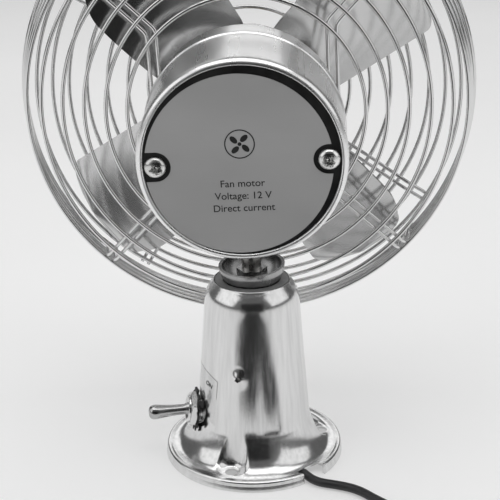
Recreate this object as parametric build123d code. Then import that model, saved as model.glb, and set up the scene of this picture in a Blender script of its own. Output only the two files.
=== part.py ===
from build123d import *
import math
import os

# Desk fan for a vehicle's 12 V supply. Millimetres, +Z up, origin at the centre of the
# pedestal's foot, on the surface that it stands on. The fan blows towards -Y.
# The head is modelled level and straight, in a frame of its own: u to +X, v up and w along
# the fan's axis towards the front. It is then turned about the swivel's centre.

# ---- pedestal ----
FOOT_R = 38.0
FOOT_RIM_H = 3.6
SHEET = 1.2
COLUMN_FOOT_R = 25.0
COLUMN_FOOT_Z = 14.0
COLUMN_TOP_R = 19.6
COLUMN_TOP_Z = 68.0
NECK_Z = 78.7
NECK_R = 15.6
SCREW_PCD = 60.0
SCREW_HOLE_R = 2.7
SCREW_HOLE_ANGLES = (71.0, 191.0, 311.0)
SCREW_SEAT_Z = 4.6
SCREW_COLLAR_Z = 0.3
NOTCH_ANGLE = 131.0
NOTCH_W = 11.2
NOTCH_H = 6.0
NOTCH_DEPTH = 15.0

# ---- swivel ----
SWIVEL_Z = 86.0
CUP_R = 13.7
CUP_WALL = 1.3
CUP_RIM_DROP = 1.0
RING_INNER_R = 11.9
RING_H = 1.7
GAP = 0.3
DISH_R = 15.4
DISH_WALL = 1.4
DISH_HOLE_R = 8.0
DISH_FLANGE_Z = 76.6
BOWL_EDGE_ANGLE = 31.0
STUD_R = 4.0
STUD_BORE_R = 2.2
STUD_END_DROP = 36.0
THREAD_GAP = 0.03

# ---- head's rest pose ----
HEAD_LEAN = 2.5
HEAD_TILT = -3.9
HEAD_YAW = -2.3
AXIS_RISE = 50.8

# ---- motor can, by distance w in front of the swivel ----
CAN_R = 40.5
CAN_WALL = 1.0
CAN_REAR = -22.3
CAN_FRONT = 35.8
CAN_SEAM = 16.3
CAN_LIP_R = 37.6
COVER_W = -21.5
COVER_T = 2.0
LABEL_R = 35.7
LABEL_T = 0.4
LABEL_U, LABEL_V = 1.2, -1.1
BOLT_U = 32.8
BOLT_R = 1.65
MOTOR_R = 30.0
MOTOR_REAR, MOTOR_FRONT = -14.0, 31.0
SHAFT_R = 4.0
BUSH_CLEARANCE = 0.03

# ---- guard ----
WIRE_R = 0.9
RIM_WIRE_R = 1.1
RIB_WIRE_R = 0.8
REAR_RING_FIRST_R = 50.4
REAR_RING_PITCH = 9.2
REAR_RING_COUNT = 5
REAR_FLAT_W = 37.5
REAR_FLAT_SLOPE = 0.055
SHOULDER_R, SHOULDER_W = 94.1, 43.5
SIDE_RING_W = (50.0, 56.5)
RIM_R, REAR_RIM_W = 99.4, 65.0
FRONT_RIM_W = REAR_RIM_W + 2 * RIM_WIRE_R + 0.2
FRONT_RING_R = (94.0, 87.5, 80.5, 72.8, 63.9, 54.8, 45.7, 36.6, 28.0)
DOME_EDGE_W, DOME_H, DOME_R = 63.5, 18.0, 97.0
PAIR_HALF = 1.9
RIB_U = 37.2
FRONT_RIB_ANGLE = 34.0
FRONT_RIB_HALF = 1.6
BADGE_R = 24.0

# ---- propeller ----
BLADE_COUNT = 4
BLADE_TIP_R = 87.0
BLADE_PITCH = 22.0
BLADE_T = 1.2
BLADE_W = 54.0
BLADE_ANGLE = -35.5
PROPELLER_DISC_R = 19.0

# ---- switch, on the column ----
SWITCH_POLAR = 10.0
SWITCH_Z = 20.9
SWITCH_RISE = 8.0
SWITCH_FACE = 24.4
LEVER_REST = -8.0
LEVER_LENGTH = 17.5

# ---- cable clamp ----
CLAMP_POLAR = 73.5
CLAMP_Z = 43.0
CLAMP_FACE = 21.0
SADDLE_Y, SADDLE_DEPTH = -5.9, -5.0
LEAD_R = 0.8

# ---- cord and plug ----
CORD_D = 3.6
CORD_R = CORD_D / 2
CORD_Z = CORD_R + 0.02
COIL_X, COIL_Y = -62.0, 102.0
COIL_BASE = 0.9
COIL_MEAN_R = 21.0
COIL_COLUMNS, COIL_LAYERS = 4, 3
LAYER_PITCH = 3.3
TIE_ANGLE = 250.0
CORD_ROUTE = (
    (-13.5, 15.5), (-19.6, 25.6), (-24.4, 33.6), (-33.8, 36.4), (-41.5, 40.2),
    (-48.0, 48.2), (-56.6, 56.6), (-67.6, 63.8), (-78.6, 72.2), (-86.2, 82.8), (-88.4, 94.0),
)
PLUG_X, PLUG_Y, PLUG_Z = -20.0, 107.0, 10.4
PLUG_R = 10.2
LEAD_ROUTE = ((-46.5, 123.6), (-37.8, 115.8), (-28.6, 109.4), (-18.0, 107.0), (-6.0, 107.0))


# ------------------------------------------------------------------ helpers

def ring(r_out, r_in, low, high):
    """A plain ring about Z."""
    return Pos(0, 0, (low + high) / 2) * (
        Cylinder(r_out, high - low) - Cylinder(r_in, high - low + 1)
    )


def disc(r, low, high):
    return Pos(0, 0, (low + high) / 2) * Cylinder(r, high - low)


def turned(outline):
    """A solid turned about Z from an outline in r and z."""
    return revolve(Plane.XZ * make_face(outline), Axis.Z)


def tube_along(path, r):
    return sweep(Plane(path @ 0, z_dir=path % 0) * Circle(r), path)


def hexagon(across, low, high):
    side = RegularPolygon(across / 2, 6, major_radius=False)
    return Pos(0, 0, low) * extrude(side, high - low)


def ball(r):
    return Pos(0, 0, SWIVEL_Z) * Sphere(r)


def wire_ring(r, w, wire):
    return Pos(0, 0, w) * Torus(r, wire)


def corner_radii(points, share=0.49):
    """The largest arc that each corner's two runs leave room for."""
    radii = []
    for before, at, after in zip(points, points[1:], points[2:]):
        a, b = Vector(*at) - Vector(*before), Vector(*after) - Vector(*at)
        turn = math.radians(a.get_angle(b))
        radii.append(share * min(a.length, b.length) / math.tan(turn / 2))
    return radii


def cord_tube(points):
    path = FilletPolyline(*points, radius=corner_radii(points))
    return tube_along(path, CORD_R)


# ------------------------------------------------------------------ frames

AXIS = Plane(origin=(0, 0, SWIVEL_Z + AXIS_RISE), x_dir=(1, 0, 0), z_dir=(0, -1, 0))
HEAD_POSE = (
    Pos(0, 0, SWIVEL_Z)
    * Rot(0, 0, HEAD_YAW)
    * Rot(HEAD_TILT, 0, 0)
    * Rot(0, HEAD_LEAN, 0)
    * Pos(0, 0, -SWIVEL_Z)
)


def on_head(shape):
    """From the level head, in the pedestal's own axes, to the rest pose."""
    return HEAD_POSE * shape


def on_axis(shape):
    """From the fan's own u, v, w axes to the rest pose."""
    return HEAD_POSE * (AXIS.location * shape)


def switch_frame(rise=SWITCH_RISE):
    """Z points out of the column along the switch."""
    polar, up = math.radians(SWITCH_POLAR), math.radians(rise)
    out = (math.cos(polar) * math.cos(up), math.sin(polar) * math.cos(up), math.sin(up))
    at = (SWITCH_FACE * math.cos(polar), SWITCH_FACE * math.sin(polar), SWITCH_Z)
    side = (-math.sin(polar), math.cos(polar), 0)
    return Plane(origin=at, x_dir=side, z_dir=out).location


def column_frame(polar_deg, z, r):
    """Z points out of the column, X up it."""
    polar = math.radians(polar_deg)
    out = (math.cos(polar), math.sin(polar), 0)
    at = (r * out[0], r * out[1], z)
    return Plane(origin=at, x_dir=(0, 0, 1), z_dir=out).location


# ------------------------------------------------------------------ pedestal

def pedestal_blank(inset):
    """The pedestal's outer form, or the same form pressed in by the sheet's thickness."""
    foot_r, top = FOOT_R - inset, FOOT_RIM_H + 0.8 - inset
    bead_r = 0.8
    neck_r = NECK_R if inset == 0 else NECK_R - 0.6
    edge = Line((0, 0), (foot_r, 0))
    wall = Line(edge @ 1, (foot_r, top - bead_r))
    bead = RadiusArc(wall @ 1, (foot_r - bead_r, top), -bead_r)
    ledge = Line(bead @ 1, (COLUMN_FOOT_R + 9.6 - inset, top))
    cove = RadiusArc(ledge @ 1, (COLUMN_FOOT_R - inset, COLUMN_FOOT_Z), 9.65)
    column = Line(cove @ 1, (COLUMN_TOP_R - inset, COLUMN_TOP_Z))
    shoulder = Line(column @ 1, (COLUMN_TOP_R - 0.7 - inset, COLUMN_TOP_Z + 5.0))
    dome = RadiusArc(shoulder @ 1, (neck_r, NECK_Z - inset), -6.4)
    top_line = Line(dome @ 1, (0, NECK_Z - inset))
    spine = Line(top_line @ 1, edge @ 0)
    return turned(edge + wall + bead + ledge + cove + column + shoulder + dome + top_line + spine)


def pedestal_shell():
    outer, inner = pedestal_blank(0), pedestal_blank(SHEET)
    shell = outer - inner - disc(NECK_R, NECK_Z - 4, NECK_Z + 2)
    for angle in SCREW_HOLE_ANGLES:
        at = Rot(0, 0, angle) * Pos(SCREW_PCD / 2, 0, 0)
        seat = at * disc(6.2, SCREW_SEAT_Z - SHEET, COLUMN_FOOT_Z)
        collar = at * disc(SCREW_HOLE_R + 0.9, SCREW_COLLAR_Z, SCREW_SEAT_Z - 0.2)
        shell = shell + (seat & outer) + collar
        shell = shell - at * disc(5.0, SCREW_SEAT_Z, COLUMN_FOOT_Z + 4)
        shell = shell - at * disc(SCREW_HOLE_R, 0, COLUMN_FOOT_Z)
    notch = Pos(FOOT_R, 0, NOTCH_H / 2) * Box(NOTCH_DEPTH, NOTCH_W, NOTCH_H)
    shell = shell - Rot(0, 0, NOTCH_ANGLE) * notch
    shell = shell - switch_frame() * disc(6.15, -8, 6)
    burr = column_frame(CLAMP_POLAR, CLAMP_Z, 21.0)
    shell = shell + burr * (Pos(0, 0, 1.0) * Cone(3.3, 2.3, 2.0))
    return shell - burr * disc(1.9, -4, 6)


def swivel_seat():
    """Dished plate welded in the neck: its hollow is concentric with the cup."""
    zone = ball(DISH_R + DISH_WALL) - ball(DISH_R)
    zone = zone & disc(12.6, SWIVEL_Z - DISH_R - 3, DISH_FLANGE_Z)
    flange = ring(16.0, 12.0, DISH_FLANGE_Z - DISH_WALL, DISH_FLANGE_Z)
    return zone + (flange - ball(DISH_R)) - disc(DISH_HOLE_R, 60, NECK_Z)


def swivel_ring():
    low = NECK_Z - RING_H
    return ring(NECK_R - GAP, RING_INNER_R, low, NECK_Z - 0.1)


# ------------------------------------------------------------------ swivel parts on the head

def swivel_cup():
    cup = ball(CUP_R) - ball(CUP_R - CUP_WALL)
    cup = cup & disc(CUP_R + 1, SWIVEL_Z - CUP_R - 1, SWIVEL_Z - CUP_RIM_DROP)
    return cup - disc(STUD_R + 0.1, 60, 90)


def hollow_stud():
    top = SWIVEL_Z + AXIS_RISE - CAN_R + CAN_WALL + 5.0
    return ring(STUD_R, STUD_BORE_R, SWIVEL_Z - STUD_END_DROP, top)


def stud_flange_nut():
    low = SWIVEL_Z - CUP_R + CUP_WALL + 2.0
    nut = disc(6.7, low, low + 2.2) + hexagon(11.0, low + 2.2, low + 8.0)
    return nut - disc(STUD_R + THREAD_GAP, low - 1, low + 9)


def stud_lock_nut():
    low = SWIVEL_Z + AXIS_RISE - CAN_R + CAN_WALL + 0.9
    return hexagon(12.0, low, low + 3.6) - disc(STUD_R + THREAD_GAP, low - 1, low + 5)


def pressure_bowl():
    inner = DISH_R + DISH_WALL + GAP
    edge_z = SWIVEL_Z - inner * math.cos(math.radians(BOWL_EDGE_ANGLE))
    bowl = (ball(inner + 1.3) - ball(inner)) & disc(12, SWIVEL_Z - inner - 3, edge_z)
    return bowl - disc(STUD_R + 0.1, 60, 80)


def swivel_spring():
    """Stack of closed turns that stands in for the pressure spring."""
    top = SWIVEL_Z - DISH_R - DISH_WALL - GAP - 1.6
    wire, turns = 0.9, 5
    pitch = 2.0
    coil = None
    for k in range(turns):
        turn = Pos(0, 0, top - wire - k * pitch) * Torus(5.6, wire)
        coil = turn if coil is None else coil + turn
    return coil


def spring_nut():
    """The adjusting nut and the washer under the spring."""
    low = SWIVEL_Z - STUD_END_DROP + 1.0
    nut = hexagon(12.0, low, low + 5.4) - disc(STUD_R + THREAD_GAP, low - 1, low + 7)
    return Compound(children=[nut, ring(7.6, STUD_R + 0.1, low + 5.4, low + 6.4)])


# ------------------------------------------------------------------ motor can

def can_rear_shell():
    lip = CAN_REAR + 1.8
    outer = disc(CAN_R, CAN_REAR, CAN_SEAM)
    outer = fillet(outer.edges().group_by(Axis.Z)[0], 1.7)
    bead = ring(CAN_R + 0.7, CAN_R - 0.5, CAN_SEAM - 1.4, CAN_SEAM)
    shell = outer + bead - disc(CAN_R - CAN_WALL, lip, CAN_SEAM + 1)
    shell = shell - disc(CAN_LIP_R, CAN_REAR - 1, lip + 1)
    stud_way = Rot(-90, 0, 0) * disc(STUD_R + 0.1, -CAN_R - 2, 0)
    return shell - stud_way


def can_front_shell():
    outer = disc(CAN_R - 0.6, CAN_SEAM + 0.05, CAN_FRONT)
    outer = fillet(outer.edges().group_by(Axis.Z)[-1], 2.2)
    shell = outer - disc(CAN_R - 0.6 - CAN_WALL, CAN_SEAM - 1, CAN_FRONT - CAN_WALL)
    for side in (-1, 1):
        shell = shell - Pos(side * BOLT_U, 0, 0) * disc(BOLT_R + 0.15, 0, CAN_FRONT + 1)
    return shell - disc(10.1, 0, CAN_FRONT + 1)


def rear_cover():
    cover = disc(CAN_LIP_R - 0.15, COVER_W, COVER_W + COVER_T)
    for side in (-1, 1):
        cover = cover - Pos(side * BOLT_U, 0, 0) * disc(BOLT_R + 0.1, COVER_W - 1, 0)
    return cover


def label_plate():
    plate = Pos(LABEL_U, LABEL_V, 0) * disc(LABEL_R, COVER_W - LABEL_T, COVER_W)
    for side in (-1, 1):
        slot = disc(5.9, COVER_W - 1, COVER_W + 1)
        run = Pos(6, 0, COVER_W) * Box(12, 11.8, 2)
        way = slot + run
        turn = 0 if side > 0 else 180
        plate = plate - Pos(side * BOLT_U, 0, 0) * (Rot(0, 0, turn) * way)
    return plate & disc(CAN_LIP_R - 0.05, COVER_W - 1, COVER_W)


def motor_bolts():
    bolts = []
    for side in (-1, 1):
        head = disc(4.25, COVER_W - 2.6, COVER_W)
        head = fillet(head.edges().group_by(Axis.Z)[0], 1.5)
        cross = Pos(0, 0, COVER_W - 2.6) * (Box(4.6, 1.0, 2.4) + Box(1.0, 4.6, 2.4))
        bolt = head - cross + disc(BOLT_R, COVER_W - 0.2, 44.0)
        bolts.append(Pos(side * BOLT_U, 0, 0) * bolt)
    return Compound(children=bolts)


def bolt_nuts():
    """Two spacers behind the rear ribs and two flanged nuts in front of them."""
    low = 40.1
    pieces = []
    for side in (-1, 1):
        nut = hexagon(7.0, low + 0.8, low + 3.0) + disc(6.8, low, low + 0.8)
        nut = nut - disc(BOLT_R + THREAD_GAP, low - 1, low + 4)
        spacer = ring(6.8, BOLT_R + THREAD_GAP, CAN_FRONT + THREAD_GAP, 38.3)
        pieces += [Pos(side * BOLT_U, 0, 0) * nut, Pos(side * BOLT_U, 0, 0) * spacer]
    return Compound(children=pieces)


# ------------------------------------------------------------------ motor

def motor_case():
    return ring(MOTOR_R, MOTOR_R - 2.0, MOTOR_REAR, MOTOR_FRONT)


def motor_end_plates():
    plates = []
    for low, bush_r in ((MOTOR_REAR - 1.6, 7.0), (MOTOR_FRONT, 10.0)):
        plates.append(ring(MOTOR_R + 0.5, bush_r, low, low + 1.6))
    bars = []
    for plate in plates:
        ears = Box(2 * BOLT_U + 9, 8, 1.6) - Cylinder(MOTOR_R, 4)
        for side in (-1, 1):
            ears = ears - Pos(side * BOLT_U, 0, 0) * Cylinder(BOLT_R + 0.1, 4)
        middle = plate.bounding_box().center().Z
        bars.append(plate + Pos(0, 0, middle) * ears)
    return Compound(children=bars)


def magnets():
    whole = ring(MOTOR_R - 2.02, 22.5, 4.0, 28.0)
    slab = Box(90, 24, 60)
    return whole - slab


def motor_bushes():
    bore = SHAFT_R + BUSH_CLEARANCE
    rear = ring(6.98, bore, MOTOR_REAR - 1.6, MOTOR_REAR + 2.2)
    front = ring(9.98, bore, MOTOR_FRONT - 3.0, CAN_FRONT)
    return Compound(children=[rear, front])


def brush_holder():
    plate = ring(27.5, 15.0, -11.6, -10.0)
    blocks = [
        Pos(side * 15.5, 0, -7.4) * (Box(10, 7, 5.2) - Box(12, 4.1, 3.7))
        for side in (-1, 1)
    ]
    plate = plate + blocks[0] + blocks[1]
    return plate - disc(8.6, -20, 0)


def brushes():
    blocks = []
    for side in (-1, 1):
        block = Pos(side * 12.0, 0, -7.4) * Box(9.5, 4.0, 3.6)
        blocks.append(block - disc(8.3, -12, 0))
    return Compound(children=blocks)


def rotor_shaft():
    shaft = disc(SHAFT_R, -16.0, BLADE_W + 12.0)
    return chamfer(shaft.edges(), 0.5)


def commutator():
    body = ring(8.0, SHAFT_R, -11.0, -3.0)
    for k in range(8):
        body = body - Rot(0, 0, 45 * k + 10) * (Pos(8.0, 0, -7) * Box(1.6, 0.5, 9))
    return body


def armature_core():
    core = ring(21.5, SHAFT_R, 5.0, 27.0)
    for k in range(8):
        slot = Pos(14.5, 0, 16) * Box(9.0, 7.0, 24)
        mouth = Pos(20.5, 0, 16) * Box(6.0, 1.8, 24)
        core = core - Rot(0, 0, 45 * k) * (slot + mouth)
    return core


def armature_windings():
    coils = []
    for k in range(8):
        coil = Pos(14.5, 0, 16) * Box(8.4, 6.2, 26.5)
        coils.append(Rot(0, 0, 45 * k) * fillet(coil.edges().filter_by(Axis.Z), 1.5))
    return Compound(children=coils)


# ------------------------------------------------------------------ propeller

def blade_outline():
    """One blade about +X: straight trailing edge at the top, rounded leading edge."""
    root_low, root_high = (13.0, -12.0), (13.0, 13.0)
    lean = math.tan(math.radians(6.5))
    trail_root, trail_tip = (28.0, 17.9 + 28 * lean), (79.0, 17.9 + 79 * lean)
    tip = (BLADE_TIP_R, 3.0)
    lead_tip, lead_mid, lead_root = (79.5, -23.5), (60.0, -27.0), (30.0, -21.0)
    base = Line(root_low, root_high)
    neck = Line(root_high, trail_root)
    trail = Line(trail_root, trail_tip)
    corner = ThreePointArc(trail_tip, (84.6, 20.5), tip)
    end = ThreePointArc(tip, (85.6, -11.5), lead_tip)
    round_off = ThreePointArc(lead_tip, (71.0, -27.4), lead_mid)
    lead = ThreePointArc(lead_mid, (45.0, -24.9), lead_root)
    heel = Line(lead_root, root_low)
    return make_face(base + neck + trail + corner + end + round_off + lead + heel)


def propeller():
    blade = Pos(0, 0, -BLADE_T / 2) * extrude(blade_outline(), BLADE_T)
    blade = Rot(BLADE_PITCH, 0, 0) * blade
    whole = Cylinder(PROPELLER_DISC_R, BLADE_T)
    for k in range(BLADE_COUNT):
        whole = whole + Rot(0, 0, BLADE_ANGLE + 360 / BLADE_COUNT * k) * blade
    return Pos(0, 0, BLADE_W) * (whole - Cylinder(7.0, 30))


def propeller_hub():
    rear, front = BLADE_W - 4.0, BLADE_W + 8.0
    hub = ring(7.0, SHAFT_R, rear, front) + ring(11.0, SHAFT_R, rear, BLADE_W - 2.2)
    way = Pos(0, 0, BLADE_W + 4.5) * (Rot(0, 90, 0) * disc(1.55, 0, 9))
    return hub - way


def hub_set_screw():
    return Pos(0, 0, BLADE_W + 4.5) * (Rot(0, 90, 0) * disc(1.5, SHAFT_R, 7.4))


# ------------------------------------------------------------------ guard

def dome_w(r):
    return DOME_EDGE_W + DOME_H * (1 - min(r / DOME_R, 1) ** 2) ** 0.75


def side_r(w):
    """Radius of the guard's side wall at w."""
    share = (w - SHOULDER_W) / (REAR_RIM_W - SHOULDER_W)
    return SHOULDER_R + share * (RIM_R - SHOULDER_R)


def rear_ring_w(r):
    return REAR_FLAT_W + REAR_FLAT_SLOPE * (r - REAR_RING_FIRST_R)


def rear_guard_rings():
    rings = []
    for k in range(REAR_RING_COUNT):
        r = REAR_RING_FIRST_R + k * REAR_RING_PITCH
        rings.append(wire_ring(r, rear_ring_w(r), WIRE_R))
    rings.append(wire_ring(SHOULDER_R, SHOULDER_W, WIRE_R))
    return Compound(children=rings)


def side_guard_rings():
    return Compound(children=[wire_ring(side_r(w), w, WIRE_R) for w in SIDE_RING_W])


def front_guard_rings():
    return Compound(children=[wire_ring(r, dome_w(r), WIRE_R) for r in FRONT_RING_R])


def rear_rib(side, offset):
    """One wire of a pair: up from the rim, past the can's front face and out to the rim."""
    diagonal = math.sqrt(0.5)
    touch = WIRE_R + RIB_WIRE_R
    flat_w = rear_ring_w(REAR_RING_FIRST_R) + touch
    shoulder_w = SHOULDER_W - 0.5
    points = []
    for up in (-1, 1):
        arm = []
        for reach, w in ((side_r(66.0) - touch, 66.0), (side_r(shoulder_w) - touch, shoulder_w - 1.6)):
            arm.append(
                (side * (reach - offset) * diagonal, up * (reach + offset) * diagonal, w)
            )
        arm.append((side * (RIB_U - offset), up * (RIB_U + 0.414 * offset), flat_w))
        points += arm if up < 0 else arm[::-1]
    return tube_along(FilletPolyline(*points, radius=(3.5, 5.0, 5.0, 3.5)), RIB_WIRE_R)


def rear_ribs():
    pairs = [(side, k * PAIR_HALF) for side in (-1, 1) for k in (-1, 1)]
    return Compound(children=[rear_rib(side, offset) for side, offset in pairs])


def front_ribs():
    wires = []
    touch = WIRE_R + RIB_WIRE_R
    stations = (98.2, 84.0, 62.0, 22.5)
    for k in range(4):
        for half in (-1, 1):
            points = [(r, half * FRONT_RIB_HALF, dome_w(r) - touch) for r in stations]
            points[0] = (points[0][0] - touch, points[0][1], FRONT_RIM_W + 0.3)
            wire = tube_along(FilletPolyline(*points, radius=(12.0, 40.0)), RIB_WIRE_R)
            wires.append(Rot(0, 0, FRONT_RIB_ANGLE + 90 * k) * wire)
    return Compound(children=wires)


def guard_clips():
    """A bent strip over both rims at each end of each pair of rear ribs."""
    clips = []
    low, high = REAR_RIM_W - RIM_WIRE_R - 0.05, FRONT_RIM_W + RIM_WIRE_R + 0.05
    wall, depth = 0.8, 2.9
    outer_r = RIM_R + RIM_WIRE_R + 0.1
    for k in range(4):
        middle = (low + high) / 2
        block = Pos(outer_r + wall - depth / 2, 0, middle) * Box(depth, 9, high - low + 2 * wall)
        inside = Pos(outer_r - depth / 2, 0, middle) * Box(depth, 12, high - low)
        clips.append(Rot(0, 0, 45 + 90 * k) * (block - inside))
    return Compound(children=clips)


def front_badge():
    back = dome_w(BADGE_R) + 0.4
    dish = disc(BADGE_R, back, back + 2.6)
    dish = fillet(dish.edges().group_by(Axis.Z)[-1], 1.8)
    return dish


# ------------------------------------------------------------------ switch

def switch_body():
    body = Pos(0, 0, -12.0) * Box(13.0, 20.0, 15.0)
    return switch_frame() * fillet(body.edges().filter_by(Axis.Z), 1.0)


def switch_bushing():
    collar = ring(6.0, 3.4, -4.5, 5.4)
    return switch_frame() * (collar - Pos(0, 0, 5.4) * Cone(3.4, 4.6, 3.0))


def switch_lock_washer():
    washer = ring(9.0, 6.05, 0.35, 1.15)
    for k in range(12):
        washer = washer - Rot(0, 0, 30 * k) * (Pos(9.2, 0, 0.7) * Box(1.6, 1.4, 2))
    return switch_frame() * washer


def switch_nut():
    nut = hexagon(14.0, 1.2, 4.0) - disc(6.0, 0, 6)
    return switch_frame() * nut


def switch_terminals():
    tabs = [
        Pos(0, y, -22.0) * Box(4.8, 0.8, 5.0) - Pos(0, y, -22.6) * (Rot(90, 0, 0) * Cylinder(0.8, 3))
        for y in (-4.7, 4.7)
    ]
    return switch_frame() * Compound(children=tabs)


def toggle_lever():
    root, tip = 2.05, 3.25
    shaft = Pos(0, 0, LEVER_LENGTH / 2) * Cone(root, tip, LEVER_LENGTH - 4.0)
    end = Pos(0, 0, LEVER_LENGTH - 2.4) * Sphere(tip)
    stem = disc(root, -2.6, 3.0)
    ball_end = Sphere(2.9)
    pivot = switch_frame() * Pos(0, 0, 3.2) * Rot(-LEVER_REST, 0, 0)
    return pivot * (shaft + end + stem + ball_end + disc(root, 0, 3))


# ------------------------------------------------------------------ inside the pedestal

def cable_clamp():
    strap = Pos(0, -2.2, -2.6) * Box(9.0, 10.4, 1.0)
    saddle = Pos(0, SADDLE_Y, SADDLE_DEPTH) * (Rot(0, 90, 0) * Cylinder(2.7, 8))
    way = Pos(0, SADDLE_Y, SADDLE_DEPTH) * (Rot(0, 90, 0) * Cylinder(CORD_R + 0.02, 12))
    at = column_frame(CLAMP_POLAR, CLAMP_Z, CLAMP_FACE)
    return at * (strap + saddle - way - Pos(0, 0, -2.6) * Cylinder(1.45, 8))


def clamp_screw():
    at = column_frame(CLAMP_POLAR, CLAMP_Z, CLAMP_FACE)
    point = Pos(0, 0, 2.7) * Cone(1.4, 0.5, 1.0)
    return at * (disc(2.8, -5.0, -3.1) + disc(1.4, -3.2, 2.2) + point)


def clamp_way():
    """Centre of the cable clamp's saddle, in plan."""
    at = column_frame(CLAMP_POLAR, CLAMP_Z, CLAMP_FACE) * Pos(0, SADDLE_Y, SADDLE_DEPTH)
    return at.position.X, at.position.Y


def cord_tail():
    """The jacketed cord inside the pedestal, from the clamp to the foot's notch."""
    x, y = clamp_way()
    notch_x, notch_y = CORD_ROUTE[0]
    points = [
        (x, y, CLAMP_Z + 4.6),
        (x, y, CLAMP_Z - 11.0),
        (-4.5, -7.5, 25.0),
        (-4.5, -7.5, CORD_Z),
        (notch_x, notch_y, CORD_Z),
    ]
    return cord_tube(points)


def thin_lead(points, radius=1.5):
    path = FilletPolyline(*points, radius=radius)
    return tube_along(path, LEAD_R)


def lower_leads():
    """From the cord's end to the switch, and from the switch to below the stud."""
    x, y = clamp_way()
    top = CLAMP_Z + 4.65
    feed = [(x, y, top), (x, y, top + 3), (-0.5, 12, 49), (1, 6, 40), (1.9, 0.4, 34), (1.95, 0.35, 23.2)]
    onward = [
        (3.2, 0.6, 12.6), (3.2, 0.6, 7.4), (1.0, -9.0, 8.0), (0.6, -10.0, 24), (0, -6, 38), (-0.5, -2.6, 47)
    ]
    return Compound(children=[thin_lead(feed), thin_lead(onward)])


def upper_leads():
    """Inside the hollow stud, then up behind the motor to its brushes."""
    leads = []
    for side in (-1, 1):
        x = 0.95 * side
        points = [(x, 0, 51.5), (x, 0, 104.2), (x, 17.5, 104.3), (x, 17.4, 127.0)]
        leads.append(thin_lead(points))
    return Compound(children=leads)


# ------------------------------------------------------------------ cord and plug

def cord_points():
    """The free cord on the surface; its last points rise to the coil's first turn."""
    points = [(x, y, CORD_Z) for x, y in CORD_ROUTE]
    rise = COIL_BASE + CORD_R - CORD_Z
    for back, share in ((1, 1.0), (2, 0.6), (3, 0.2)):
        x, y, z = points[-back]
        points[-back] = (x, y, z + share * rise)
    return points


def power_cord():
    """The free cord to the coil, and its last run from the coil to the plug."""
    high = COIL_BASE + (COIL_LAYERS - 1) * LAYER_PITCH + CORD_R
    rise = PLUG_Z - high
    shares = (0.0, 0.3, 0.8, 1.0, 1.0)
    lead = [(x, y, high + rise * share) for (x, y), share in zip(LEAD_ROUTE, shares)]
    return Compound(children=[cord_tube(cord_points()), cord_tube(lead)])


def cord_coil():
    spread = (COIL_COLUMNS - 1) / 2 * CORD_D + CORD_R
    high = COIL_BASE + (COIL_LAYERS - 1) * LAYER_PITCH + CORD_D
    coil = ring(COIL_MEAN_R + spread, COIL_MEAN_R - spread, COIL_BASE, high)
    return Pos(COIL_X, COIL_Y, 0) * fillet(coil.edges(), 1.5)


def cord_tie():
    spread = (COIL_COLUMNS - 1) / 2 * CORD_D + CORD_R
    high = COIL_BASE + (COIL_LAYERS - 1) * LAYER_PITCH + CORD_D
    middle = (COIL_BASE + high) / 2
    tall, wide = high - COIL_BASE, 2 * spread
    band = Box(wide + 1.6, 5.0, tall + 1.6) - Box(wide + 0.1, 6.0, tall + 0.1)
    at = Pos(COIL_X, COIL_Y, middle) * Rot(0, 0, TIE_ANGLE) * Pos(COIL_MEAN_R, 0, 0)
    return at * band


def plug_frame():
    """Z runs along the plug towards its tip."""
    return Plane(origin=(PLUG_X, PLUG_Y, PLUG_Z), x_dir=(0, 1, 0), z_dir=(1, 0, 0)).location


def plug_strain_relief():
    boot = Pos(0, 0, 7.0) * Cone(2.9, 4.6, 14.0)
    return plug_frame() * (boot - disc(CORD_R + 0.02, -1, 16))


def plug_body():
    grip = disc(PLUG_R, 14.0, 42.0)
    grip = fillet(grip.edges(), 1.2)
    barrel = disc(9.4, 41.0, 66.0)
    body = grip + barrel - disc(3.6, 28.0, 67.0)
    for side in (-1, 1):
        body = body - Pos(side * 9.2, 0, 54.0) * Box(2.6, 4.6, 19.0)
    return plug_frame() * (body - disc(CORD_R, 10.0, 29.0))


def plug_side_contacts():
    """Sprung earth strips, bowed out at the barrel's sides."""
    strips = []
    for side in (-1, 1):
        bow = Polyline((8.1, 45.0), (9.9, 50.0), (9.9, 58.0), (8.1, 63.0), (7.95, 62.6),
                       (9.4, 57.7), (9.4, 50.3), (7.95, 45.4), close=True)
        strip = extrude(Plane.XZ * make_face(bow), 2.0, both=True)
        strips.append(Rot(0, 0, 0 if side > 0 else 180) * strip)
    return plug_frame() * Compound(children=strips)


def plug_nose():
    nose = disc(7.6, 66.05, 73.0) - disc(3.6, 66, 71) - disc(2.9, 60, 74)
    return plug_frame() * chamfer(nose.edges().group_by(Axis.Z)[-1], 0.8)


def plug_fuse():
    return plug_frame() * disc(3.1, 30.0, 54.0)


def plug_tip_spring():
    turns = [Pos(0, 0, 55.2 + 1.35 * k) * Torus(2.5, 0.5) for k in range(5)]
    return plug_frame() * Compound(children=turns)


def plug_tip():
    pin = disc(2.8, 66.0, 77.0) + disc(3.3, 65.2, 67.2)
    return plug_frame() * fillet(pin.edges().group_by(Axis.Z)[-1], 1.6)


# ------------------------------------------------------------------ the whole fan

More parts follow.
